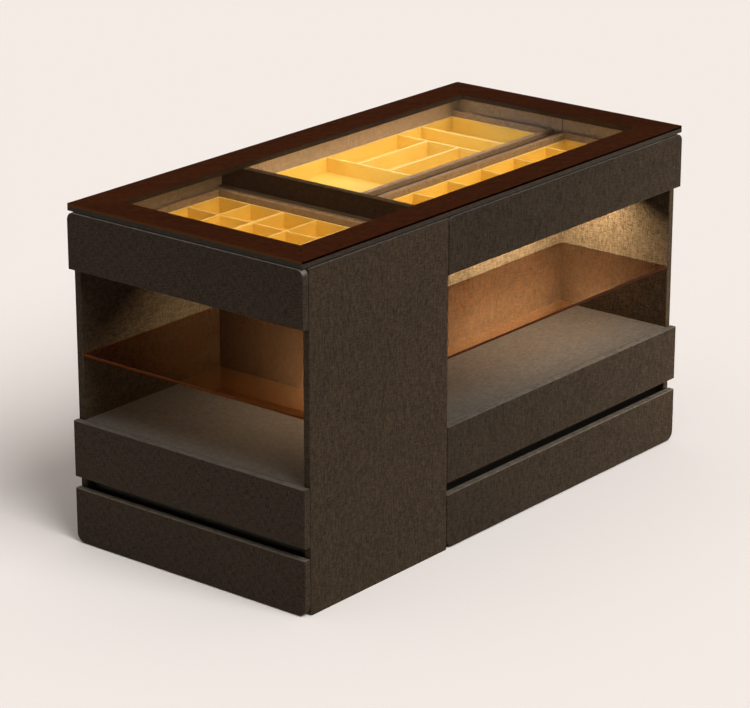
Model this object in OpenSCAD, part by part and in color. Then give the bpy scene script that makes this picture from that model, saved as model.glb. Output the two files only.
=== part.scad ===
// Free-standing closet island: one end cabinet and two long-side cabinets under a glass top.
// Each cabinet has a glazed top drawer with divided trays, an open niche with a glass
// shelf, and two deep drawers with a recessed finger channel between them.
// Millimetres, Z up, origin on the floor under the centre of the island.

/* [Island] */
// Length of the island
island_length = 1400; // [1200:20:1600]
// Depth of the island
island_depth = 680; // [640:10:760]
// Height of the island over its glass
island_height = 800; // [780:5:900]
// Length taken by the end cabinet
end_length = 490; // [460:5:560]

/* [Boards] */
// Thickness of the cabinet boards
board_t = 18; // [16:1:22]
// Thickness of the thin backs of the two side cabinets
thin_back_t = 6; // [4:1:9]
// How far those thin backs stop below the top drawer boxes
back_drop = 8; // [4:1:15]
// Chamfer along the edges of the boards
edge_ease = 1; // [0.5:0.25:1.5]
// Height of the bottom boards above the floor
base_lift = 8; // [4:1:12]
// Radius of the front corners of the side panels
panel_corner_r = 6; // [2:1:10]
// Joint between the glued boards of a drawer box, a tray or the frame
glue = 0.1; // [0.05:0.05:0.3]
// Thickness of the board over a niche
ceiling_t = 12; // [10:1:16]
// Height of that board's underside above the lower edge of the top front
ceiling_lap = 6; // [2:1:12]
// How far the front edge of that board is set back, to let fingers in
ceiling_setback = 30; // [20:1:50]

/* [Glass top] */
// Thickness of the glass top
glass_t = 5; // [4:0.5:8]
// Thickness of the frame under the glass
frame_t = 12; // [10:1:18]
// Width of the frame members along the two long sides
frame_w = 84; // [60:2:100]
// Width of the frame members across the two ends
frame_end_w = 90; // [60:2:100]
// Radius along the outer lower edge of the frame
frame_round = 5; // [3:0.5:9]
// Radius of the corners of the glass and the frame, seen from above
corner_r = 6; // [3:0.5:12]
// Shadow gap between the frame and the fronts
reveal = 1.5; // [1:0.5:6]
// Diameter of the pads that carry the frame
pad_d = 12; // [8:1:15]
// Distance of the outer pads from the ends of a side panel
pad_inset = 40; // [20:5:80]

/* [Drawer fronts] */
// Thickness of the fronts
front_t = 18; // [16:1:22]
// Gap between the fronts and the edges of the cabinet
front_gap = 1; // [1:0.5:3]
// Gap between the lower fronts and the floor
floor_gap = 2; // [1:0.5:6]
// Height of the lower fronts
lower_front_h = 130; // [110:2:150]
// Height of the upper fronts
upper_front_h = 134; // [120:2:160]
// Height of the top fronts
top_front_h = 132; // [120:1:150]
// Height of the finger gap between the lower and upper fronts
finger_gap = 28; // [22:1:36]
// Joint between a side cabinet's fronts and the end cabinet
seam = 2; // [1:0.5:4]
// Radius along the edges of the fronts
front_round = 2; // [1:0.5:4]
// Radius of the upper corners of the top fronts
top_corner_r = 18; // [8:1:30]
// Radius of the lower corners of the lower fronts
lower_corner_r = 22; // [10:1:40]

/* [Finger channel] */
// Height of the channel section
channel_h = 60; // [52:2:70]
// Depth of the channel section
channel_d = 22; // [16:1:30]
// Wall of the channel section
channel_wall = 1.6; // [1.2:0.1:2.4]

/* [Drawer boxes] */
// Thickness of the drawer sides and backs
box_t = 14; // [12:1:16]
// Thickness of the drawer bottoms
box_bottom_t = 6; // [4:1:8]
// Height of the top drawer boxes
top_box_h = 61; // [56:1:72]
// Free height above and below a drawer box
box_clear = 6; // [4:0.5:8]
// Gap between a drawer box and the cabinet back
back_clear = 9.5; // [3:0.5:12]

/* [Slides] */
// Width of the space for a slide beside a drawer box
slide_gap = 12.7; // [12.5:0.1:14]
// Height of the slides
rail_h = 35; // [32:1:38]
// Sheet thickness of the slides
rail_wall = 1.2; // [1:0.1:1.5]
// Height of the slides above the bottom of the drawer box
rail_lift = 12; // [10:1:14]
// Depth of the turned-in lips of the cabinet members
rail_lip = 4; // [3:0.5:5]
// Running clearance between the two members
rail_run = 0.3; // [0.2:0.1:0.5]
// Gap between the lips of a cabinet member and the web of a drawer member
rail_gap = 1.5; // [1:0.1:2]
// Distance of the slides behind the front edges of the side panels
rail_setback = 2; // [1:0.5:5]
// Step of the lengths in which slides are sold
rail_step = 50; // [25, 50]

/* [Trays] */
// Thickness of the tray walls
tray_wall = 5; // [4:0.5:7]
// Thickness of the tray bottoms
tray_base = 4; // [3:0.5:6]
// Height of the drawer sides above the tray rims
tray_drop = 15; // [10:1:26]
// Gap round a tray
tray_gap = 0.5; // [0.3:0.1:1.5]
// Chamfer along the tray rims
tray_ease = 1; // [0.5:0.25:1.5]
// Number of trays side by side in the end drawer
end_trays = 3; // [2:1:4]
// Width of a compartment in the front drawer
front_bay = 129; // [100:1:160]
// Width of the first long compartment in the rear drawer
rear_bay_a = 126; // [90:1:140]
// Width of the second long compartment in the rear drawer
rear_bay_b = 95; // [70:1:110]
// Width of the divided block in the rear drawer
rear_bay_c = 268; // [180:2:280]

/* [Niches] */
// Thickness of the glass shelves
shelf_t = 6; // [5:0.5:8]
// Height of a shelf's underside above the niche floor
shelf_lift = 150; // [100:5:220]
// Gap between a shelf's ends and the cabinet sides
shelf_gap = 1; // [0.5:0.25:2]
// Diameter of the shelf pins
pin_d = 5; // [4:0.5:6]
// Distance of the shelf pins from the front and back edges of the shelf
pin_inset = 40; // [25:5:60]
// Depth of the holes for the shelf pins
pin_hole = 9; // [7:0.5:11]
// Free depth behind a pin in its hole
pin_end = 0.5; // [0.3:0.1:1]
// Clearance round a pin in its hole
pin_fit = 0.1; // [0.05:0.05:0.2]
// Length of the plates on the shelf pins
pin_plate_l = 9; // [7:0.5:12]
// Width of the plates on the shelf pins
pin_plate_w = 10; // [8:0.5:14]
// Thickness of the plates on the shelf pins
pin_plate_t = 2; // [1.5:0.5:3]

/* [Lights] */
// Width of the light bars
light_w = 17; // [14:1:20]
// Height of the light bars
light_h = 8; // [6:0.5:10]
// Wall of the light bars
light_wall = 1; // [0.8:0.1:1.5]
// Clearance round a diffuser in its bar
cover_fit = 0.2; // [0.1:0.05:0.4]
// Free length at each end of a light bar
light_end = 40; // [20:5:90]
// Distance of a niche light in front of the niche back
light_back = 140; // [30:5:160]
// Distance of a top light behind the face of the cabinet
light_front = 42; // [36:1:60]

/* [Connectors] */
// Diameter of the connector bolts
bolt_d = 6; // [5:0.5:8]
// Diameter of the connector heads
bolt_head_d = 14; // [12:1:16]
// Thickness of the connector heads
bolt_head_t = 1.5; // [1:0.25:2]
// Clearance round a connector bolt in its hole
bolt_fit = 0.2; // [0.1:0.05:0.4]
// Distance of the front connectors behind the face of a side cabinet
bolt_front = 90; // [70:5:120]
// Distance of the rear connectors from the middle of the island
bolt_rear = 60; // [40:5:80]

/* [Hidden] */

// Cabinets and drawers by name
END = 0;
FRONT = 1;
REAR = 2;
CABINETS = [END, FRONT, REAR];
LOWER = 0;
UPPER = 1;
TOP = 2;
DRAWERS = [LOWER, UPPER, TOP];

// Heights from the floor
lower_z = floor_gap;
lower_top = lower_z + lower_front_h;
upper_z = lower_top + finger_gap;
niche_z = upper_z + upper_front_h;
glass_z = island_height - glass_t;
frame_z = glass_z - frame_t;
panel_top = frame_z - reveal;
top_z = panel_top - top_front_h;
ceiling_z = top_z + ceiling_lap;
channel_z = (lower_top + upper_z) / 2 - channel_h / 2;
shelf_z = niche_z + shelf_lift;

// Undersides and heights of the three drawer boxes
box_z = [base_lift + board_t, channel_z + channel_h, ceiling_z + ceiling_t] + box_clear * [1, 1, 1];
box_h = [channel_z - box_clear - box_z[LOWER], niche_z - board_t - box_clear - box_z[UPPER], top_box_h];
rail_z = [for (d = DRAWERS) box_z[d] + rail_lift + rail_h / 2];
tray_z = box_z[TOP] + box_bottom_t;
tray_h = top_box_h - tray_drop - box_bottom_t;
pin_z = shelf_z - pin_plate_t - pin_d / 2;

// Heights of the connector bolts, midway between the board under a drawer box and its slides
bolt_z = [for (d = DRAWERS) box_z[d] + (rail_lift - box_clear) / 2];

// Widths and depths of the cabinets, each seen from its own face
carcass_y = front_t + front_gap;
function cab_w(c) = c == END ? island_depth : island_length - end_length;
function cab_d(c) = c == END ? end_length : island_depth / 2;
function back_t(c) = c == END ? board_t : thin_back_t;
function back_y(c) = cab_d(c) - back_t(c);
function clear_w(c) = cab_w(c) - 2 * board_t;

// Stations along the depth of a cabinet of its pads, shelf pins and connector bolts
function pad_y(c) = [carcass_y + pad_inset, cab_d(c) - pad_inset];
function pin_y(c) = [carcass_y + pin_inset, back_y(c) - pin_inset];
bolt_y = [bolt_front, island_depth / 2 - bolt_rear];

// Drawer boxes: their left side, their back and their slides
box_x = board_t + slide_gap;
function box_w(c) = cab_w(c) - 2 * box_x;
function box_end(c) = back_y(c) - back_clear;
rail_y = carcass_y + rail_setback;
function rail_length(c) = rail_step * floor((box_end(c) - rail_y) / rail_step);

// Trays: the space inside the top drawer boxes
tray_x = box_x + box_t + tray_gap;
tray_y = front_t + tray_gap;
function tray_w(c) = cab_w(c) - 2 * tray_x;
function tray_l(c) = box_end(c) - box_t - tray_gap - tray_y;

// Compartments as [width, rows], from left to right; the last one takes what is left
end_tray_w = (tray_w(END) + tray_gap) / end_trays - tray_gap;
end_bays = [[(end_tray_w - tray_wall) / 2, 4], [0, 4]];
front_bays_n = floor(tray_w(FRONT) / front_bay) - 1;
front_end_bay = (tray_w(FRONT) - tray_wall - front_bays_n * front_bay) / 2;
front_bays = [[front_end_bay, 2], for (i = [1:front_bays_n]) [front_bay, 2], [0, 2]];
rear_bays = [[rear_bay_a, 1], [rear_bay_b, 1], [rear_bay_c, 3], [0, 1]];

// Finishes
linen = [0.24, 0.21, 0.18];
light_board = [0.52, 0.48, 0.43];
drawer_board = [0.55, 0.49, 0.42];
tray_yellow = [0.93, 0.75, 0.38];
dark_metal = [0.09, 0.08, 0.08];
steel = [0.7, 0.7, 0.72];
bronze_glass = [0.35, 0.2, 0.12, 0.45];
warm_white = [1, 0.9, 0.75];

// How far a cut reaches past the faces that it opens
past = 1;

$fn = 48;

// Puts a cabinet's own frame (x along its face, y into its depth) in its place on the island
module place(c) {
    half = [island_length / 2, island_depth / 2];
    if (c == END) translate([-half.x, half.y]) rotate(-90) children();
    if (c == FRONT) translate([end_length - half.x, -half.y]) children();
    if (c == REAR) translate([half.x, half.y]) rotate(180) children();
}

// Draws something at the left side of a cabinet and mirrored at its right side
module both_sides(c) {
    children();
    translate([cab_w(c), 0]) mirror([1, 0]) children();
}

// Rectangle with small chamfers at its corners
module eased_rect(a, b, e) {
    polygon([[e, 0], [a - e, 0], [a, e], [a, b - e], [a - e, b], [e, b], [0, b - e], [0, e]]);
}

// Board with a small chamfer along all its edges
module board(size, ease = edge_ease) {
    intersection() {
        linear_extrude(size.z) eased_rect(size.x, size.y, ease);
        rotate([90, 0, 90]) linear_extrude(size.x) eased_rect(size.y, size.z, ease);
        translate([0, size.y]) rotate([90, 0, 0]) linear_extrude(size.y) eased_rect(size.x, size.z, ease);
    }
}

// Upright strip along x with its two top edges eased
module strip_x(length, thick, height, ease = edge_ease) {
    rotate([90, 0, 90]) linear_extrude(length)
        polygon([[0, 0], [thick, 0], [thick, height - ease], [thick - ease, height],
            [ease, height], [0, height - ease]]);
}

// The same strip along y
module strip_y(length, thick, height, ease = edge_ease) {
    translate([thick, 0]) rotate(90) strip_x(length, thick, height, ease);
}

// Rectangle round the origin with round corners
module rounded_rect(length, width, r) {
    square([length - 2 * r, width], center = true);
    square([length, width - 2 * r], center = true);
    for (sx = [-1, 1], sy = [-1, 1])
        translate([sx * (length / 2 - r), sy * (width / 2 - r)]) circle(r);
}

// Side of a panel: its two corners at the left are round
module panel_outline(depth, height, r) {
    translate([r, 0]) square([depth - r, height]);
    translate([0, r]) square([depth, height - 2 * r]);
    for (z = [r, height - r]) translate([r, z]) circle(r);
}

module glass_top() {
    color(bronze_glass) translate([0, 0, glass_z])
        linear_extrude(glass_t) rounded_rect(island_length, island_depth, corner_r);
}

// One frame member along x with its outer edge at y = 0, cut at both ends to a mitre with
// members of the width next_w
module frame_member(length, width, next_w) {
    intersection() {
        rotate([90, 0, 90]) linear_extrude(length) {
            translate([frame_round, 0]) square([width - frame_round, frame_t]);
            translate([0, frame_round]) square([width, frame_t - frame_round]);
            translate([frame_round, frame_round]) circle(frame_round);
        }
        linear_extrude(frame_t)
            polygon([[glue, 0], [length - glue, 0], [length - next_w - glue, width],
                [next_w + glue, width]]);
    }
}

module top_frame() {
    color(linen) translate([0, 0, frame_z]) intersection() {
        for (turn = [0, 180]) {
            rotate(turn) translate([-island_length / 2, -island_depth / 2])
                frame_member(island_length, frame_w, frame_end_w);
            rotate(turn + 90) translate([-island_depth / 2, -island_length / 2])
                frame_member(island_depth, frame_end_w, frame_w);
        }
        linear_extrude(frame_t) rounded_rect(island_length, island_depth, corner_r);
    }
}

// Pad on the left side panel of a cabinet
module pad(y) {
    translate([board_t / 2, y, panel_top]) cylinder(d = pad_d, h = reveal);
}

// Pads on the outer side panels, which hold the frame off them by the shadow gap
module frame_pads() {
    color(dark_metal) {
        place(END) both_sides(END) for (y = concat(pad_y(END), cab_d(END) / 2)) pad(y);
        place(FRONT) translate([cab_w(FRONT) - board_t, 0]) for (y = pad_y(FRONT)) pad(y);
        place(REAR) for (y = pad_y(REAR)) pad(y);
    }
}

// Side panel of a cabinet with its blind holes for shelf pins. An inner one, beside the
// end cabinet, is bolted to it and reaches up to the frame
module side_panel(c, right, inner) {
    x = right ? cab_w(c) - board_t : 0;
    depth = cab_d(c) - carcass_y;
    height = inner ? frame_z : panel_top;
    color(linen) place(c) difference() {
        intersection() {
            translate([x, carcass_y]) board([board_t, depth, height]);
            translate([x, carcass_y]) rotate([90, 0, 90]) linear_extrude(board_t)
                panel_outline(depth, height, panel_corner_r);
        }
        for (y = pin_y(c)) translate([right ? x - past : x + board_t + past, y, pin_z])
            rotate([0, right ? 90 : -90, 0]) cylinder(d = pin_d + 2 * pin_fit, h = pin_hole + past);
        if (inner) bolt_holes(x);
    }
}

// Holes for the connector bolts through a board whose face is at x
module bolt_holes(x) {
    for (y = bolt_y, z = bolt_z) translate([x - past, y, z])
        rotate([0, 90, 0]) cylinder(d = bolt_d + 2 * bolt_fit, h = board_t + 2 * past);
}

// Back of the end cabinet, a full board bolted to the two side cabinets
module end_back() {
    color(linen) difference() {
        place(END) translate([board_t, back_y(END), base_lift])
            board([clear_w(END), board_t, box_z[TOP] + top_box_h - base_lift]);
        place(FRONT) translate([-board_t, 0]) bolt_holes(0);
        place(REAR) translate([board_t, 0]) bolt_holes(cab_w(REAR) - board_t);
    }
}

// Thin back of a side cabinet
module thin_back(c) {
    color(linen) place(c) translate([board_t, back_y(c), base_lift])
        cube([clear_w(c), thin_back_t, box_z[TOP] + top_box_h - back_drop - base_lift]);
}

// Board between the two sides of a cabinet
module shelf_board(c, z, thick, setback = 0) {
    place(c) translate([board_t, carcass_y + setback, z])
        board([clear_w(c), back_y(c) - carcass_y - setback, thick]);
}

module bottom_board(c) {
    color(linen) shelf_board(c, base_lift, board_t);
}

module niche_floor(c) {
    color(light_board) shelf_board(c, niche_z - board_t, board_t);
}

module niche_ceiling(c) {
    color(linen) shelf_board(c, ceiling_z, ceiling_t, ceiling_setback);
}

module glass_shelf(c) {
    color(bronze_glass) place(c) translate([board_t + shelf_gap, carcass_y + shelf_gap, shelf_z])
        board([clear_w(c) - 2 * shelf_gap, back_y(c) - carcass_y - 2 * shelf_gap, shelf_t]);
}

// Shelf pin in the left side panel: a round stem under a flat plate
module shelf_pin() {
    sunk = pin_hole - pin_end;
    translate([board_t - sunk, 0, pin_z]) rotate([0, 90, 0]) cylinder(d = pin_d, h = sunk + pin_plate_l);
    translate([board_t, -pin_d / 2, pin_z]) cube([pin_plate_l, pin_d, pin_d / 2]);
    translate([board_t, -pin_plate_w / 2, pin_z + pin_d / 2])
        cube([pin_plate_l, pin_plate_w, pin_plate_t]);
}

module shelf_pins() {
    color(steel) for (c = CABINETS) place(c) both_sides(c)
        for (y = pin_y(c)) translate([0, y]) shelf_pin();
}

// Light bar hung under a board at z: a channel that opens downward
module light_body(length, z) {
    translate([0, 0, z - light_h]) difference() {
        cube([length, light_w, light_h]);
        translate([-past, light_wall, -past])
            cube([length + 2 * past, light_w - 2 * light_wall, light_h - light_wall + past]);
    }
}

// Diffuser that fills the mouth of the channel
module light_cover(length, z) {
    translate([0, light_wall + cover_fit, z - light_h])
        cube([length, light_w - 2 * (light_wall + cover_fit), light_h - light_wall - cover_fit]);
}

// Places of a cabinet's two light bars: over its niche and under the frame
module at_lights(c) {
    translate([board_t + light_end, back_y(c) - light_back]) children(0);
    translate([board_t + light_end, light_front]) children(1);
}

module light_bodies() {
    color(steel) for (c = CABINETS) place(c) at_lights(c) {
        light_body(clear_w(c) - 2 * light_end, ceiling_z);
        light_body(clear_w(c) - 2 * light_end, frame_z);
    }
}

module light_covers() {
    color(warm_white) for (c = CABINETS) place(c) at_lights(c) {
        light_cover(clear_w(c) - 2 * light_end, ceiling_z);
        light_cover(clear_w(c) - 2 * light_end, frame_z);
    }
}

// Slide sections: x from the side panel towards the drawer, y up from the middle height
outer_d = slide_gap - rail_wall - rail_gap;
inner_half = rail_h / 2 - rail_wall - rail_run;
neck_half = rail_h / 2 - rail_lip - rail_run;
inner_x = rail_wall + rail_run;
inner_edge = outer_d - rail_wall - rail_run;

// Draws half a section and its mirror image below
module up_and_down() {
    children();
    mirror([0, 1]) children();
}

// Cabinet member: a C with lips turned in
module outer_section() {
    translate([0, -rail_h / 2]) square([rail_wall, rail_h]);
    up_and_down() {
        translate([0, rail_h / 2 - rail_wall]) square([outer_d, rail_wall]);
        translate([outer_d - rail_wall, rail_h / 2 - rail_lip]) square([rail_wall, rail_lip]);
    }
}

// Drawer member: a hat whose brim is held behind the lips of the cabinet member
module inner_section() {
    translate([slide_gap - rail_wall, -neck_half]) square([rail_wall, 2 * neck_half]);
    up_and_down() {
        translate([inner_edge - rail_wall, neck_half - rail_wall])
            square([slide_gap - inner_edge + rail_wall, rail_wall]);
        translate([inner_edge - rail_wall, neck_half - rail_wall])
            square([rail_wall, inner_half - neck_half + rail_wall]);
        translate([inner_x, inner_half - rail_wall]) square([inner_edge - inner_x, rail_wall]);
    }
}

// Stretches a slide section along a cabinet's left side at the height of a drawer
module slide(c, d) {
    translate([board_t, rail_y + rail_length(c), rail_z[d]])
        rotate([90, 0, 0]) linear_extrude(rail_length(c)) children();
}

module cabinet_rails() {
    color(steel) for (c = CABINETS, d = DRAWERS) place(c) both_sides(c) slide(c, d) outer_section();
}

module drawer_rails(c, d) {
    color(steel) place(c) both_sides(c) slide(c, d) inner_section();
}

// Recessed finger channel behind the gap between the lower and upper fronts
module finger_channels() {
    color(dark_metal) for (c = CABINETS) place(c) translate([board_t, carcass_y, channel_z])
        rotate([90, 0, 90]) linear_extrude(clear_w(c)) difference() {
            square([channel_d, channel_h]);
            translate([-past, channel_wall])
                square([channel_d - channel_wall + past, channel_h - 2 * channel_wall]);
        }
}

// Bolts through the end cabinet's back and the inner sides of the two side cabinets
module connector_bolt() {
    rotate([0, 90, 0]) {
        translate([0, 0, -board_t]) cylinder(d = bolt_d, h = 2 * board_t);
        translate([0, 0, board_t]) cylinder(d = bolt_head_d, h = bolt_head_t);
        translate([0, 0, -board_t - bolt_head_t]) cylinder(d = bolt_head_d, h = bolt_head_t);
    }
}

module connector_bolts() {
    color(steel) for (y = bolt_y, z = bolt_z) {
        place(FRONT) translate([0, y, z]) connector_bolt();
        place(REAR) translate([cab_w(REAR), y, z]) connector_bolt();
    }
}

// Round corner of a front: a disc whose rim is rounded as the front's straight edges are
module front_corner(r) {
    rotate([-90, 0, 0]) rotate_extrude() {
        square([r - front_round, front_t]);
        translate([0, front_round]) square([r, front_t - 2 * front_round]);
        for (y = [front_round, front_t - front_round]) translate([r - front_round, y]) intersection() {
            circle(front_round);
            translate([0, -front_round]) square([front_round, 2 * front_round]);
        }
    }
}

// Drawer front with its face in the plane y = 0. Two of its corners have the radius r, at the
// top or at the bottom, and a radius of 0 leaves all four square
module front_board(w, h, r, at_top) {
    difference() {
        intersection() {
            linear_extrude(h) translate([w / 2, front_t / 2]) rounded_rect(w, front_t, front_round);
            rotate([90, 0, 90]) linear_extrude(w) translate([front_t / 2, h / 2])
                rounded_rect(front_t, h, front_round);
        }
        if (r > 0) for (x = [-past, w - r]) translate([x, -past, at_top ? h - r : -past])
            cube([r + past, front_t + 2 * past, r + past]);
    }
    if (r > 0) for (x = [r, w - r]) translate([x, 0, at_top ? h - r : r]) front_corner(r);
}

// Front of a drawer; beside the end cabinet it stops short by the seam
module drawer_front(c, d) {
    z = [lower_z, upper_z, top_z][d];
    h = [lower_front_h, upper_front_h, top_front_h][d];
    r = [lower_corner_r, 0, top_corner_r][d];
    color(linen) place(c) translate([c == FRONT ? seam : 0, 0, z])
        front_board(cab_w(c) - (c == END ? 0 : seam), h, r, d == TOP);
}

// Drawer box behind its front: two sides, a back between them and a bottom
module drawer_box(c, d) {
    inner_w = box_w(c) - 2 * (box_t + glue);
    inner_l = box_end(c) - box_t - front_t;
    color(drawer_board) place(c) translate([0, 0, box_z[d]]) {
        both_sides(c) translate([box_x, front_t]) strip_y(box_end(c) - front_t, box_t, box_h[d]);
        translate([box_x + box_t + glue, box_end(c) - box_t]) strip_x(inner_w, box_t, box_h[d]);
        translate([box_x + box_t + glue, front_t]) cube([inner_w, inner_l - glue, box_bottom_t]);
    }
}

// Left edge of compartment i of a tray
function bay_x(bays, i) = i == 0 ? 0 : bay_x(bays, i - 1) + bays[i - 1][0];

// Tray with walls all round and one compartment column for each bay
module tray(w, l, bays) {
    wall_h = tray_h - tray_base - glue;
    n = len(bays);
    cube([w, l, tray_base]);
    translate([0, 0, tray_base + glue]) {
        for (i = [0:n]) {
            x = i == n ? w - tray_wall : bay_x(bays, i);
            translate([x, 0]) strip_y(l, tray_wall, wall_h, tray_ease);
        }
        for (i = [0:n - 1]) {
            x = bay_x(bays, i) + tray_wall + glue;
            x_next = (i == n - 1 ? w - tray_wall : bay_x(bays, i + 1)) - glue;
            rows = bays[i][1];
            for (k = [0:rows]) translate([x, k * (l - tray_wall) / rows])
                strip_x(x_next - x, tray_wall, wall_h, tray_ease);
        }
    }
}

module end_tray() {
    color(tray_yellow) place(END) for (k = [0:end_trays - 1])
        translate([tray_x + k * (end_tray_w + tray_gap), tray_y, tray_z])
            tray(end_tray_w, tray_l(END), end_bays);
}

module long_tray(c, bays) {
    color(tray_yellow) place(c) translate([tray_x, tray_y, tray_z]) tray(tray_w(c), tray_l(c), bays);
}

glass_top();
top_frame();
frame_pads();

side_panel(END, true, false);  // end_side_near
side_panel(END, false, false);  // end_side_far
end_back();
bottom_board(END);  // end_bottom
niche_floor(END);  // end_niche_floor
niche_ceiling(END);  // end_niche_ceiling

side_panel(FRONT, false, true);  // front_side_inner
side_panel(FRONT, true, false);  // front_side_outer
thin_back(FRONT);  // front_back
bottom_board(FRONT);  // front_bottom
niche_floor(FRONT);  // front_niche_floor
niche_ceiling(FRONT);  // front_niche_ceiling

side_panel(REAR, true, true);  // rear_side_inner
side_panel(REAR, false, false);  // rear_side_outer
thin_back(REAR);  // rear_back
bottom_board(REAR);  // rear_bottom
niche_floor(REAR);  // rear_niche_floor
niche_ceiling(REAR);  // rear_niche_ceiling

glass_shelf(END);  // end_glass_shelf
glass_shelf(FRONT);  // front_glass_shelf
glass_shelf(REAR);  // rear_glass_shelf
shelf_pins();
light_bodies();
light_covers();
cabinet_rails();
finger_channels();
connector_bolts();

drawer_front(END, TOP);  // end_top_front
drawer_box(END, TOP);  // end_top_box
drawer_rails(END, TOP);  // end_top_rails
end_tray();
drawer_front(END, UPPER);  // end_upper_front
drawer_box(END, UPPER);  // end_upper_box
drawer_rails(END, UPPER);  // end_upper_rails
drawer_front(END, LOWER);  // end_lower_front
drawer_box(END, LOWER);  // end_lower_box
drawer_rails(END, LOWER);  // end_lower_rails

drawer_front(FRONT, TOP);  // front_top_front
drawer_box(FRONT, TOP);  // front_top_box
drawer_rails(FRONT, TOP);  // front_top_rails
long_tray(FRONT, front_bays);  // front_tray
drawer_front(FRONT, UPPER);  // front_upper_front
drawer_box(FRONT, UPPER);  // front_upper_box
drawer_rails(FRONT, UPPER);  // front_upper_rails
drawer_front(FRONT, LOWER);  // front_lower_front
drawer_box(FRONT, LOWER);  // front_lower_box
drawer_rails(FRONT, LOWER);  // front_lower_rails

drawer_front(REAR, TOP);  // rear_top_front
drawer_box(REAR, TOP);  // rear_top_box
drawer_rails(REAR, TOP);  // rear_top_rails
long_tray(REAR, rear_bays);  // rear_tray
drawer_front(REAR, UPPER);  // rear_upper_front
drawer_box(REAR, UPPER);  // rear_upper_box
drawer_rails(REAR, UPPER);  // rear_upper_rails
drawer_front(REAR, LOWER);  // rear_lower_front
drawer_box(REAR, LOWER);  // rear_lower_box
drawer_rails(REAR, LOWER);  // rear_lower_rails
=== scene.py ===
import math

import bmesh
import bpy
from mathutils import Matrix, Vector


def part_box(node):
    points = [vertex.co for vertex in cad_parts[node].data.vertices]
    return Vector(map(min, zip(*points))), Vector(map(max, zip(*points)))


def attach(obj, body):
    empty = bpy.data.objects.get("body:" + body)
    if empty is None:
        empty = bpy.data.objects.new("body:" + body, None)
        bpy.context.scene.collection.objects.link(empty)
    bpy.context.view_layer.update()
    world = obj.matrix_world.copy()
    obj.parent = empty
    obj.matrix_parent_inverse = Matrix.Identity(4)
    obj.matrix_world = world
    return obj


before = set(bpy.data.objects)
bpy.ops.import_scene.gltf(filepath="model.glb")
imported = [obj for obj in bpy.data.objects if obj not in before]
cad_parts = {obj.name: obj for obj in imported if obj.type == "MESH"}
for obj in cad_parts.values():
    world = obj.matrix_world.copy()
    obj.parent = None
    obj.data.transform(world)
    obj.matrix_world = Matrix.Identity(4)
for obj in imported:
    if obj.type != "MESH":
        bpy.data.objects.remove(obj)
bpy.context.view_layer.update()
MM = 0.001

# Side panels, backs, bottoms and niche ceilings: 18 mm boards faced on all sides with a dark
# linen foil whose slubby threads run up and across. They are doweled and glued into three
# cabinets, and their edges are eased by a millimetre.
CABINETS = ("end", "front", "rear")


def shader_node(tree, kind, inputs=None, **settings):
    """Adds a shader node. An input is a value, or another node's output that is linked to it."""
    made = tree.nodes.new("ShaderNode" + kind)
    for name, value in settings.items():
        setattr(made, name, value)
    for socket, value in (inputs or {}).items():
        if isinstance(value, bpy.types.NodeSocket):
            tree.links.new(value, made.inputs[socket])
        else:
            made.inputs[socket].default_value = value
    return made


def math_node(tree, operation, a, b=0.0, c=0.0, clamp=False):
    made = shader_node(tree, "Math", {0: a, 1: b, 2: c}, operation=operation, use_clamp=clamp)
    return made.outputs[0]


def blend_colours(tree, share, a, b, blend_type="MIX"):
    """Colour a where share is 0 and colour b where it is 1."""
    made = shader_node(tree, "Mix", {0: share, 6: a, 7: b}, data_type="RGBA", blend_type=blend_type)
    return made.outputs[2]


def noise(tree, vector, scale=1.0, detail=2.0, roughness=0.5):
    inputs = {"Vector": vector, "Scale": scale, "Detail": detail, "Roughness": roughness}
    return shader_node(tree, "TexNoise", inputs).outputs[0]


def scaled(tree, vector, scale):
    return shader_node(tree, "VectorMath", {0: vector, 1: scale}, operation="MULTIPLY").outputs[0]


def spread(tree, value, low, high):
    """The share of the way from low to high, from 0 to 1."""
    inputs = {"Value": value, "From Min": low, "From Max": high}
    return shader_node(tree, "MapRange", inputs, clamp=True).outputs[0]


def shader_group(name, inputs, outputs):
    """An empty node group with its sockets, and the nodes that stand for them."""
    group = bpy.data.node_groups.new(name, "ShaderNodeTree")
    for label, (kind, value) in inputs.items():
        made = group.interface.new_socket(label, in_out="INPUT", socket_type="NodeSocket" + kind)
        made.default_value = value
    for label, kind in outputs.items():
        group.interface.new_socket(label, in_out="OUTPUT", socket_type="NodeSocket" + kind)
    given = group.nodes.new("NodeGroupInput").outputs
    out = group.nodes.new("NodeGroupOutput").inputs
    return group, given, out


def place_group(tree, group, inputs):
    """Puts a node group into a tree. Its inputs are values or other nodes' outputs."""
    return shader_node(tree, "Group", inputs, node_tree=group).outputs


def new_material(name, **settings):
    """A material with one Principled shader, and its node tree."""
    made = bpy.data.materials.new(name)
    made.use_nodes = True
    tree = made.node_tree
    shader = tree.nodes["Principled BSDF"]
    for socket, value in settings.items():
        shader.inputs[socket.replace("_", " ")].default_value = value
    return made, tree, shader


def bump(tree, shader, height, distance, strength=1.0):
    made = shader_node(tree, "Bump", {"Height": height, "Distance": distance, "Strength": strength})
    tree.links.new(made.outputs[0], shader.inputs["Normal"])


def dress(names, made):
    """Gives CAD nodes their finish."""
    for name in names:
        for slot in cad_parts[name].material_slots:
            slot.material = made


# How often the foil changes in a metre, across its threads, along them and from fibre to fibre.
ACROSS, ALONG, FIBRES = 760, 70, 800
WARP, WEFT = (ACROSS, ACROSS, ALONG), (ALONG, ALONG, ACROSS)
WARP_SHARE, WEFT_SHARE, FIBRE_SHARE = 0.38, 0.36, 0.26
CLOUDS = 0.03
GROUND_UNTIL, THREAD_FROM = 0.44, 0.56


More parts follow.
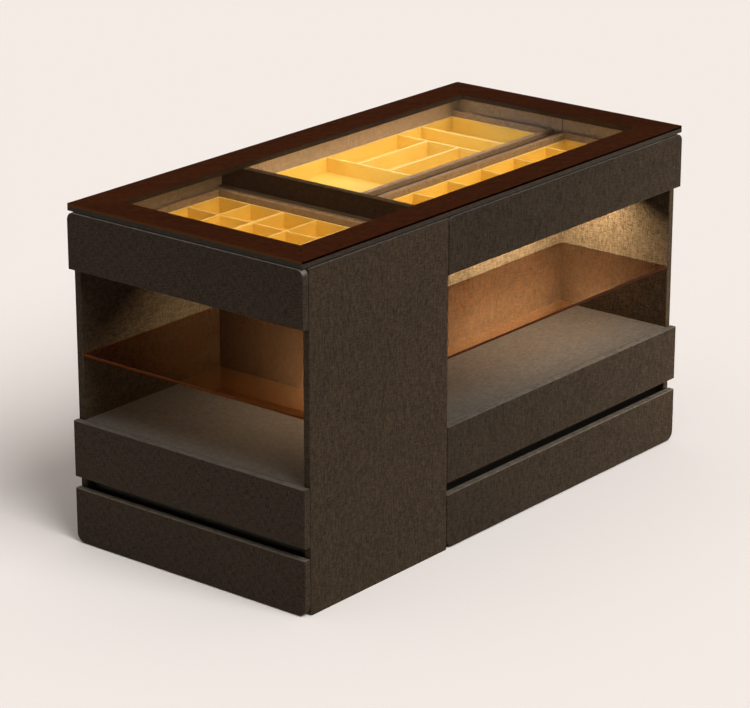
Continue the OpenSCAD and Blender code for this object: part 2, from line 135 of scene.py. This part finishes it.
def linen_weave():
    """Slubby threads up and across over a fine pepper of fibres, and how high they stand."""
    group, given, out = shader_group(
        "Linen weave",
        {"Warp": ("Vector", WARP), "Weft": ("Vector", WEFT),
         "Ground": ("Color", (0, 0, 0, 1)), "Thread": ("Color", (1, 1, 1, 1))},
        {"Color": "Color", "Height": "Float"})
    place = shader_node(group, "TexCoord").outputs["Object"]
    warp = noise(group, scaled(group, place, given["Warp"]), detail=1.5)
    weft = noise(group, scaled(group, place, given["Weft"]), detail=1.5)
    fibre = noise(group, place, scale=FIBRES, detail=1)
    threads = math_node(group, "ADD", math_node(group, "MULTIPLY", warp, WARP_SHARE),
                        math_node(group, "MULTIPLY", weft, WEFT_SHARE))
    threads = math_node(group, "MULTIPLY_ADD", fibre, FIBRE_SHARE, threads)
    cloud = math_node(group, "SUBTRACT", noise(group, place, scale=7, detail=3), 0.5)
    light = math_node(group, "MULTIPLY_ADD", cloud, CLOUDS, threads)
    share = spread(group, light, GROUND_UNTIL, THREAD_FROM)
    colour = blend_colours(group, share, given["Ground"], given["Thread"])
    group.links.new(colour, out["Color"])
    group.links.new(threads, out["Height"])
    return group


# The largest part of a normal on a chamfer and on a flat face, and how squarely a face looks up
# or toward a direction when its mask begins and when it is full.
CHAMFER, FLAT = 0.8, 0.985
UP_FROM, UP_FULL = 0.25, 0.8
FACING_FROM, FACING_FULL = 0.8, 0.95


def face_masks():
    """Masks of the small chamfers and roundings, of the faces that look up, and of those that are
    lined: they look toward a direction and are higher than a height."""
    group, given, out = shader_group(
        "Face masks",
        {"Toward": ("Vector", (0, 0, 0)), "Above": ("Float", -1.0)},
        {"Edge": "Float", "Up": "Float", "Lined": "Float"})
    normal = shader_node(group, "TexCoord").outputs["Normal"]
    parts = shader_node(group, "SeparateXYZ", {0: normal}).outputs
    largest = math_node(group, "ABSOLUTE", parts[0])
    for part in (parts[1], parts[2]):
        largest = math_node(group, "MAXIMUM", largest, math_node(group, "ABSOLUTE", part))
    edge = math_node(group, "SUBTRACT", 1.0, spread(group, largest, CHAMFER, FLAT))
    group.links.new(edge, out["Edge"])
    group.links.new(spread(group, parts[2], UP_FROM, UP_FULL), out["Up"])
    toward = {0: normal, 1: given["Toward"]}
    facing = shader_node(group, "VectorMath", toward, operation="DOT_PRODUCT").outputs[1]
    place = shader_node(group, "TexCoord").outputs["Object"]
    height = shader_node(group, "SeparateXYZ", {0: place}).outputs[2]
    higher = math_node(group, "GREATER_THAN", height, given["Above"])
    facing = spread(group, facing, FACING_FROM, FACING_FULL)
    lined = math_node(group, "MULTIPLY", facing, higher)
    group.links.new(lined, out["Lined"])
    return group


LINEN_WEAVE = linen_weave()
FACE_MASKS = face_masks()
# How much the chamfers and roundings are lightened: partly rubbed foil, partly a painted highlight.
RUB_AND_HIGHLIGHT = 0.12
LINING_GROUND, LINING_THREAD = (0.30, 0.25, 0.19), (0.48, 0.41, 0.32)


def linen(name, ground, thread, top, warp=WARP, weft=WEFT, toward=(0, 0, 0), above=-1.0):
    """Board faced in linen foil. Its edges are lighter, partly rubbed and partly a painted
    highlight, and the faces that look up are woven in the colour top: painted light on most boards,
    a stain on the frame. Faces that look toward a direction, higher than a height, are lined with a
    light foil."""
    made, tree, shader = new_material(name, Roughness=0.75, Specular_IOR_Level=0.1)

    def woven(ground, thread):
        return place_group(tree, LINEN_WEAVE, {"Warp": warp, "Weft": weft,
                                               "Ground": (*ground, 1), "Thread": (*thread, 1)})

    weave = woven(ground, thread)
    masks = place_group(tree, FACE_MASKS, {"Toward": toward, "Above": above})
    # Lighter edges: partly rubbed foil, partly a painted highlight where the eased edges would
    # catch light.
    rubbed_and_highlit = tuple(min(1.6 * value + 0.01, 1) for value in thread)
    rub_and_highlight = math_node(tree, "MULTIPLY", masks["Edge"], RUB_AND_HIGHLIGHT)
    colour = blend_colours(tree, rub_and_highlight, weave["Color"], (*rubbed_and_highlit, 1))
    # Faces that look up: a painted lit top on the boards and fronts, a stain on the frame.
    upper = woven([0.75 * value for value in top], [1.25 * value for value in top])
    colour = blend_colours(tree, masks["Up"], colour, upper["Color"])
    if any(toward):
        lining = woven(LINING_GROUND, LINING_THREAD)
        colour = blend_colours(tree, masks["Lined"], colour, lining["Color"])
    tree.links.new(colour, shader.inputs["Base Color"])
    bump(tree, shader, weave["Height"], 0.3 * MM)
    return made


DARK_GROUND, DARK_THREAD = (0.0120, 0.0079, 0.0044), (0.0430, 0.0284, 0.0162)
# LIT_TOP is painted light: faces that look up are lighter and greyer than the foil, as if lit from
# above.
LIT_TOP, BACK_TOP = (0.075, 0.067, 0.056), (0.030, 0.024, 0.018)
# Higher than this, the sides that look into the top drawers' spaces have a light lining.
LINED_FROM = 667 * MM
INNER_SIDES = {(0, 1, 0): ("end_side_near",), (0, -1, 0): ("end_side_far",),
               (1, 0, 0): ("front_side_inner", "rear_side_inner"),
               (-1, 0, 0): ("front_side_outer", "rear_side_outer", "end_back"),
               (0, 0, 0): ("front_back", "rear_back")}
for toward, boards in INNER_SIDES.items():
    top = LIT_TOP if any(toward) else BACK_TOP
    dress(boards, linen("dark linen board", DARK_GROUND, DARK_THREAD, top,
                        toward=toward, above=LINED_FROM))
dress([f"{cabinet}_{board}" for cabinet in CABINETS for board in ("bottom", "niche_ceiling")],
      linen("dark linen shelf board", DARK_GROUND, DARK_THREAD, LIT_TOP))

# Niche floors: 18 mm boards in a grey linen foil, laid flush with the tops of the upper drawer
# fronts, so that the niche reads as one shelf from front to back. Their warp runs the long way.
GREY_GROUND, GREY_THREAD = (0.05, 0.047, 0.043), (0.085, 0.081, 0.076)
LONG_WAY, SHORT_WAY = 60, 90
for cabinet in CABINETS:
    warp, weft = (LONG_WAY, ACROSS, ACROSS), (ACROSS, SHORT_WAY, ACROSS)
    if cabinet == "end":
        warp, weft = (ACROSS, LONG_WAY, ACROSS), (SHORT_WAY, ACROSS, ACROSS)
    # The floors' upper faces take the painted lit-top colour, as if lit from above.
    dress([f"{cabinet}_niche_floor"],
          linen("grey linen board", GREY_GROUND, GREY_THREAD, LIT_TOP, warp, weft))

# Slides and connectors: zinc-plated steel. Each slide is a cabinet member with turned-in lips
# and a drawer member that runs inside it. The bolts clamp the side cabinets to the end cabinet.
ROLLED = (12, 900, 900)  # how often its lines change in a metre along the island, across and up


def brushed_metal(name, colour, roughness):
    """Rolled metal with fine lines along the island and soft stains."""
    made, tree, shader = new_material(name, Metallic=1.0, Base_Color=(*colour, 1))
    place = shader_node(tree, "TexCoord").outputs["Object"]
    lines = noise(tree, scaled(tree, place, ROLLED), detail=3, roughness=0.6)
    stains = noise(tree, place, scale=30, detail=2)
    rough = math_node(tree, "MULTIPLY_ADD", lines, 0.15, roughness - 0.1)
    rough = math_node(tree, "MULTIPLY_ADD", stains, 0.08, rough)
    tree.links.new(rough, shader.inputs["Roughness"])
    bump(tree, shader, lines, 0.03 * MM)
    return made


zinc = brushed_metal("zinc-plated steel", (0.60, 0.60, 0.61), 0.32)
DRAWERS = ("top", "upper", "lower")
dress(["cabinet_rails", "connector_bolts"], zinc)
dress([f"{cabinet}_{drawer}_rails" for cabinet in CABINETS for drawer in DRAWERS], zinc)

# Finger channels: dark anodised aluminium sections behind the gaps between the lower and upper
# fronts. Fingers reach in over the lower front or under the upper one.
dress(["finger_channels"], brushed_metal("dark anodised aluminium", (0.11, 0.095, 0.08), 0.42))

# Drawer boxes: 14 mm boards in a light linen foil, with a thin bottom let in between them. The
# boxes hang between their slides and are screwed to the backs of the fronts.
# The top edges of the box boards take a paler painted lit-top colour, as if lit from above.
dress([f"{cabinet}_{drawer}_box" for cabinet in CABINETS for drawer in DRAWERS],
      linen("light linen board", (0.22, 0.17, 0.12), (0.34, 0.275, 0.205), (0.32, 0.26, 0.20)))

# Drawer fronts: 18 mm boards in the dark linen foil, with soft edges, a light foil on their backs,
# and round corners at the foot of the lower ones and at the top of the top ones. They are screwed
# to the drawer boxes.
FRONT_GROUND, FRONT_THREAD = (0.0130, 0.0088, 0.0052), (0.0470, 0.0322, 0.0200)
# Painted shade: the fronts' foil is darkened, most on the front and rear cabinets and a little more
# on the top fronts.
FRONT_PAINTED_SHADE = {"end": 0.92, "front": 0.72, "rear": 0.72}
TOP_FRONT_PAINTED_SHADE = 0.92
# Painted light on the fronts' upward faces: lit tops, and a painted highlight line along the end's
# top front.
LOWER_FRONT_LIT_TOP = (0.10, 0.083, 0.064)
TOP_EDGE_HIGHLIGHT = {"end": (0.19, 0.175, 0.155), "front": LIT_TOP, "rear": LIT_TOP}
INWARD = {"end": Vector((1, 0, 0)), "front": Vector((0, 1, 0)), "rear": Vector((0, -1, 0))}
for cabinet in CABINETS:
    for drawer, top in (("lower", LOWER_FRONT_LIT_TOP), ("upper", LIT_TOP), ("top", TOP_EDGE_HIGHLIGHT[cabinet])):
        painted_shade = FRONT_PAINTED_SHADE[cabinet] * (TOP_FRONT_PAINTED_SHADE if drawer == "top" else 1.0)
        ground = [painted_shade * value for value in FRONT_GROUND]
        thread = [painted_shade * value for value in FRONT_THREAD]
        dress([f"{cabinet}_{drawer}_front"],
              linen("dark linen front", ground, thread, top, toward=INWARD[cabinet]))

# Trays: thin boards covered in a soft yellow leather cloth, glued into compartments. They lie
# loose on the bottoms of the top drawers.
DEEP_YELLOW, YELLOW = (0.80, 0.585, 0.12, 1), (0.88, 0.67, 0.16, 1)
# Painted highlight: the tops of the rims and the edges are paler yellow, as if catching the light.
PAINTED_RIM_HIGHLIGHT = (0.98, 0.82, 0.36, 1)


def tray_cloth():
    """Fine-pored cloth with a painted highlight: paler yellow on the tops of the rims and on the
    edges.
    """
    made, tree, shader = new_material(
        "yellow leather cloth", Roughness=0.62, Specular_IOR_Level=0.3,
        Sheen_Weight=0.25, Sheen_Roughness=0.4, Sheen_Tint=(1.0, 0.86, 0.55, 1))
    place = shader_node(tree, "TexCoord").outputs["Object"]
    pores = shader_node(tree, "TexVoronoi", {"Vector": place, "Scale": 900.0}).outputs[0]
    cloudy = spread(tree, noise(tree, place, scale=14, detail=3), 0.3, 0.7)
    colour = blend_colours(tree, cloudy, DEEP_YELLOW, YELLOW)
    under_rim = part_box("end_tray")[1].z - MM
    masks = place_group(tree, FACE_MASKS, {"Toward": (0, 0, 1), "Above": under_rim})
    # The painted rim highlight covers the edges and the rims' upper faces.
    edge = math_node(tree, "MULTIPLY", masks["Edge"], 0.6)
    rim_highlight = math_node(tree, "MAXIMUM", edge, masks["Lined"])
    colour = blend_colours(tree, rim_highlight, colour, PAINTED_RIM_HIGHLIGHT)
    tree.links.new(colour, shader.inputs["Base Color"])
    bump(tree, shader, pores, 0.12 * MM, 0.6)
    return made


dress([f"{cabinet}_tray" for cabinet in CABINETS], tray_cloth())

# Glass shelves and their pins: brown-tinted glass 6 mm thick with polished edges, resting on
# small brown lacquered steel pins pushed into the cabinet sides.
EDGE_GLOSS = (0.16, 0.08, 0.03, 1)
ROUNDED = 0.4  # how far a polished edge leans back, as the upper half of its rounding does


def tinted_glass(name, tint, lamp_tint, edge, painted_glow, toward=None):
    """Body-tinted float glass, deeper in colour at its edges, with a faint painted glow on its
    edges, or only on the edge that looks toward a direction: emission, though the glass is no lamp.
    Lamps reach what lies behind it through lamp_tint."""
    made, tree, shader = new_material(name, Roughness=0.0, IOR=1.5, Transmission_Weight=1.0)
    normal = shader_node(tree, "TexCoord").outputs["Normal"]
    upright = math_node(tree, "ABSOLUTE", shader_node(tree, "SeparateXYZ", {0: normal}).outputs[2])
    face = spread(tree, upright, 0.5, 0.95)
    tree.links.new(blend_colours(tree, face, (*edge, 1), (*tint, 1)), shader.inputs["Base Color"])
    # Painted glow: emission on the edges, though the glass is no lamp.
    painted_glow_mask = math_node(tree, "SUBTRACT", 1.0, face)
    if toward:
        painted_glow_mask = place_group(tree, FACE_MASKS, {"Toward": toward})["Lined"]
    painted_edge_glow = blend_colours(tree, painted_glow_mask, (0, 0, 0, 1), (*painted_glow, 1))
    tree.links.new(painted_edge_glow, shader.inputs["Emission Color"])
    shader.inputs["Emission Strength"].default_value = 1.0
    gloss = blend_colours(tree, face, EDGE_GLOSS, (1, 1, 1, 1))
    tree.links.new(gloss, shader.inputs["Specular Tint"])
    lean = math_node(tree, "MULTIPLY_ADD", face, -ROUNDED, ROUNDED)
    outward = shader_node(tree, "NewGeometry").outputs["Normal"]
    upward = shader_node(tree, "CombineXYZ", {2: lean}).outputs[0]
    leaning = shader_node(tree, "VectorMath", {0: outward, 1: upward}, operation="ADD").outputs[0]
    rounded = shader_node(tree, "VectorMath", {0: leaning}, operation="NORMALIZE").outputs[0]
    tree.links.new(rounded, shader.inputs["Normal"])
    one_face = tuple(math.sqrt(value) for value in lamp_tint)
    clear = shader_node(tree, "BsdfTransparent", {"Color": (*one_face, 1)}).outputs[0]
    lamp_ray = shader_node(tree, "LightPath").outputs["Is Shadow Ray"]
    both = shader_node(tree, "MixShader", {0: lamp_ray, 1: shader.outputs[0], 2: clear}).outputs[0]
    tree.links.new(both, tree.nodes["Material Output"].inputs["Surface"])
    return made


# The shelves' edges carry a faint painted orange glow.
shelf_glass = tinted_glass(
    "amber shelf glass", tint=(0.80, 0.31, 0.075), lamp_tint=(0.14, 0.12, 0.115),
    edge=(0.05, 0.010, 0.002), painted_glow=(0.050, 0.010, 0.0005))
dress([f"{cabinet}_glass_shelf" for cabinet in CABINETS], shelf_glass)
dress(["shelf_pins"], brushed_metal("brown lacquered steel", (0.09, 0.06, 0.045), 0.45))

# Light bars: small bronze anodised sections with a frosted diffuser in their mouths and a cap on
# each end. One hangs over each niche and one behind each top front, under the frame.
LIGHT_COLOUR = (1.0, 0.88, 0.66)
bar_metal = brushed_metal("bronze anodised aluminium", (0.30, 0.24, 0.18), 0.36)
dress(["light_bodies"], bar_metal)
diffuser, tree, shader = new_material(
    "frosted diffuser", Base_Color=(0.9, 0.88, 0.84, 1), Roughness=0.5,
    Emission_Color=(*LIGHT_COLOUR, 1), Emission_Strength=4.0)
frost = noise(tree, shader_node(tree, "TexCoord").outputs["Object"], scale=1200, detail=1)
bump(tree, shader, frost, 0.05 * MM)
dress(["light_covers"], diffuser)
CAP_THICK, CAP_CORNER, CAP_EASE = 1.2 * MM, 2.0 * MM, 0.25 * MM


def bar_box(node, cabinet, low, high):
    """The box of what a cabinet has of a light node between the heights low and high."""
    corner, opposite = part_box(f"{cabinet}_niche_floor")
    points = [vertex.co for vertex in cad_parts[node].data.vertices
              if corner.x < vertex.co.x < opposite.x and corner.y < vertex.co.y < opposite.y
              and low < vertex.co.z < high]
    return [Vector(pick(point[axis] for point in points) for axis in range(3))
            for pick in (min, max)]


def end_cap(low, high, along, end):
    """Thin moulded cap on one end of a light bar that runs along the axis along."""
    across = 1 - along
    half = (high[across] - low[across]) / 2
    middle = (high[across] + low[across]) / 2
    turns = [math.radians(angle) for angle in range(180, 361, 15)]
    outline = [(-half, high.z)]
    for side, quarter in ((-1, turns[:7]), (1, turns[6:])):
        outline += [(side * (half - CAP_CORNER) + CAP_CORNER * math.cos(turn),
                     low.z + CAP_CORNER + CAP_CORNER * math.sin(turn)) for turn in quarter]
    outline.append((half, high.z))
    start = high[along] if end else low[along]
    cap = bmesh.new()
    rings = []
    for reach in (0.0, CAP_THICK if end else -CAP_THICK):
        ring = []
        for side, height in outline:
            point = Vector((0, 0, height))
            point[along] = start + reach
            point[across] = middle + side
            ring.append(cap.verts.new(point))
        rings.append(ring)
    for ring in rings:
        cap.faces.new(ring)
    for i in range(len(outline)):
        j = (i + 1) % len(outline)
        cap.faces.new((rings[0][i], rings[0][j], rings[1][j], rings[1][i]))
    bmesh.ops.recalc_face_normals(cap, faces=cap.faces)
    mesh = bpy.data.meshes.new("light_end_cap")
    cap.to_mesh(mesh)
    cap.free()
    mesh.materials.append(bar_metal)
    return mesh


def area_lamp(name, place, size, radiance, colour, aim=(0, 0, -1)):
    """Rectangular lamp that isn't seen itself and lights the island but not the studio floor."""
    made = bpy.data.lights.new(name, "AREA")
    made.shape = "RECTANGLE"
    made.size, made.size_y = size
    made.energy = radiance * math.pi * size[0] * size[1]
    made.color = colour
    lamp = bpy.data.objects.new(name, made)
    lamp.location = place
    lamp.rotation_euler = (-Vector(aim)).to_track_quat("Z", "Y").to_euler()
    lamp.visible_camera = lamp.visible_glossy = lamp.visible_transmission = False
    lamp.light_linking.receiver_collection = UNLIT_FLOOR
    bpy.context.scene.collection.objects.link(lamp)


# The bars shine downward and lean inward by so many degrees. A share of a niche bar, at its left
# end, gives no light and leaves that side of the niche dim.
NICHE_RADIANCE = {"end": 1500.0, "front": 1530.0, "rear": 1100.0}
NICHE_TILT = {"end": 28, "front": 21, "rear": 25}
UNLIT_SHARE = {"end": 0.4, "front": 0.45, "rear": 0.0}
TRAY_BAR_RADIANCE, TRAY_TILT = 16.0, 50
# Soft room light over the trays, no wider than the opening of the frame.
TRAY_RADIANCE = {"end": 0.68, "front": 1.15, "rear": 1.7}
TRAY_COLOUR = {"end": (1.0, 0.92, 0.78), "front": (1.0, 0.98, 0.86), "rear": (0.92, 1.18, 2.0)}
FRAME_SIDE, FRAME_END = 84 * MM, 90 * MM
LAMP_GAP = 2 * MM
UNLIT_FLOOR = bpy.data.collections.new("unlit_floor")
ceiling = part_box("end_niche_ceiling")[1].z
for cabinet in CABINETS:
    along = 1 if cabinet == "end" else 0
    for place, heights in (("niche", (0.0, ceiling)), ("tray", (ceiling, 1.0))):
        low, high = bar_box("light_bodies", cabinet, *heights)
        for end, side in enumerate(("left", "right")):
            mesh = end_cap(low, high, along, end)
            cap = bpy.data.objects.new(f"{cabinet}_{place}_light_cap_{side}", mesh)
            bpy.context.scene.collection.objects.link(cap)
            soften = cap.modifiers.new("soft edges", "BEVEL")
            soften.width, soften.segments = CAP_EASE, 2
            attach(cap, "carcass")
    inward = INWARD[cabinet]
    for place, heights, radiance, tilt in (
            ("niche", (0.0, ceiling), NICHE_RADIANCE[cabinet], NICHE_TILT[cabinet]),
            ("tray", (ceiling, 1.0), TRAY_BAR_RADIANCE, TRAY_TILT)):
        low, high = bar_box("light_covers", cabinet, *heights)
        if place == "niche":
            unlit = UNLIT_SHARE[cabinet] * (high[along] - low[along])
            if cabinet == "end":
                high.y -= unlit
            else:
                low.x += unlit
        centre, size = (low + high) / 2, high - low
        turn = math.radians(tilt)
        aim = math.sin(turn) * inward - math.cos(turn) * Vector((0, 0, 1))
        area_lamp(f"{cabinet}_{place}_bar_lamp", (centre.x, centre.y, low.z - LAMP_GAP),
                  (size[along], size[1 - along]), radiance, LIGHT_COLOUR, aim)
    low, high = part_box(f"{cabinet}_tray")
    frame_low, frame_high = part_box("top_frame")
    low.x, high.x = max(low.x, frame_low.x + FRAME_END), min(high.x, frame_high.x - FRAME_END)
    low.y, high.y = max(low.y, frame_low.y + FRAME_SIDE), min(high.y, frame_high.y - FRAME_SIDE)
    centre, size = (low + high) / 2, high - low
    area_lamp(f"{cabinet}_tray_lamp", (centre.x, centre.y, frame_high.z - LAMP_GAP),
              (size.x, size.y), TRAY_RADIANCE[cabinet], TRAY_COLOUR[cabinet])

# Frame and its pads: four mitred members of dark linen board, rounded along their lower edge and
# stained red-brown under the glass. Small black rubber pads hold the frame off the panels by a
# shadow gap.
FRAME_GROUND, FRAME_THREAD = (0.0145, 0.0105, 0.0075), (0.033, 0.0250, 0.018)
STAINED_TOP = (0.092, 0.030, 0.013)
dress(["top_frame"], linen("linen frame", FRAME_GROUND, FRAME_THREAD, STAINED_TOP))
rubber, tree, shader = new_material(
    "black rubber", Base_Color=(0.02, 0.02, 0.02, 1), Specular_IOR_Level=0.3)
grain = noise(tree, shader_node(tree, "TexCoord").outputs["Object"], scale=700, detail=2)
tree.links.new(spread(tree, grain, -0.6, 1.0), shader.inputs["Roughness"])
dress(["frame_pads"], rubber)

# Glass top: one sheet of brown-tinted float glass, 5 mm thick, with polished edges. It is bonded
# flush to the frame, and the trays are seen through it.
BROWN = (0.80, 0.66, 0.50)
# The edge that looks toward the end carries a faint painted glow.
top_glass = tinted_glass(
    "brown top glass", tint=BROWN, lamp_tint=BROWN,
    edge=(0.010, 0.004, 0.002), painted_glow=(0.045, 0.018, 0.006), toward=(-1, 0, 0))
dress(["glass_top"], top_glass)


# Studio: a pale cream floor that runs out of sight, one big soft key light from the front, fills
# from the right and from behind, and a sky that is dark above its pale horizon, so that the glass
# shows what is under it.
def studio_floor():
    made, tree, shader = new_material("cream studio floor", Base_Color=(0.88, 0.825, 0.79, 1),
                                      Roughness=0.9, Specular_IOR_Level=0.0)
    half = 40.0
    mesh = bpy.data.meshes.new("studio_floor")
    corners = [(-half, -half, 0), (half, -half, 0), (half, half, 0), (-half, half, 0)]
    mesh.from_pydata(corners, [], [(0, 1, 2, 3)])
    mesh.materials.append(made)
    floor = bpy.data.objects.new("studio_floor", mesh)
    bpy.context.scene.collection.objects.link(floor)
    UNLIT_FLOOR.objects.link(floor)
    UNLIT_FLOOR.collection_objects[0].light_linking.link_state = "EXCLUDE"


studio_floor()
world = bpy.data.worlds.new("studio sky")
world.use_nodes = True
tree = world.node_tree
direction = shader_node(tree, "TexCoord").outputs["Generated"]
height = shader_node(tree, "SeparateXYZ", {0: direction}).outputs[2]
HORIZON_TOP, DARK_FROM, DARK_TO, SKY_FROM = 0.12, 0.19, 0.5, 0.75
HORIZON, DARK, SKY = (0.91, 0.855, 0.80, 1), (0.028, 0.015, 0.009, 1), (0.62, 0.60, 0.57, 1)
ramp = shader_node(tree, "ValToRGB", {0: height})
stops = ramp.color_ramp.elements
stops[0].position, stops[0].color = HORIZON_TOP, HORIZON
stops[1].position, stops[1].color = SKY_FROM, SKY
for position in (DARK_FROM, DARK_TO):
    stops.new(position).color = DARK
tree.links.new(ramp.outputs[0], tree.nodes["Background"].inputs["Color"])
bpy.context.scene.world = world

KEY_STRENGTH, KEY_WIDTH, KEY_FROM = 2.7, 40, Vector((-0.12, -1.0, 1.07))
key = bpy.data.lights.new("key_light", "SUN")
key.energy = KEY_STRENGTH
key.angle = math.radians(KEY_WIDTH)
key_light = bpy.data.objects.new("key_light", key)
key_light.rotation_euler = KEY_FROM.to_track_quat("Z", "Y").to_euler()
bpy.context.scene.collection.objects.link(key_light)

# Each fill: where it stands, its width and height, its radiance and colour, and what it aims at.
FILLS = {
    "right_fill": ((1.3, -1.1, 0.28), (0.7, 0.5), 22.0, (1.0, 0.93, 0.82), (0.45, -0.34, 0.28)),
    "rear_fill": ((0.8, 3.6, 1.9), (3.0, 2.0), 5.0, (1.0, 0.97, 0.92), (0.0, 0.3, 0.4)),
}
for name, (place, size, radiance, colour, target) in FILLS.items():
    area_lamp(name, place, size, radiance, colour, Vector(target) - Vector(place))

# Camera: where the photograph was taken from, solved from the corners of the island.
EYE, YAW, PITCH = (-5.2929, -4.2687, 2.7021), 0.68305, -0.33474
camera_data = bpy.data.cameras.new("camera")
camera_data.sensor_width = 36.0
camera_data.lens = 147.85
camera = bpy.data.objects.new("camera", camera_data)
camera.location = EYE
camera.rotation_euler = (math.pi / 2 + PITCH, 0, YAW - math.pi / 2)
bpy.context.scene.collection.objects.link(camera)
bpy.context.scene.camera = camera
bpy.context.scene.view_settings.view_transform = "Standard"
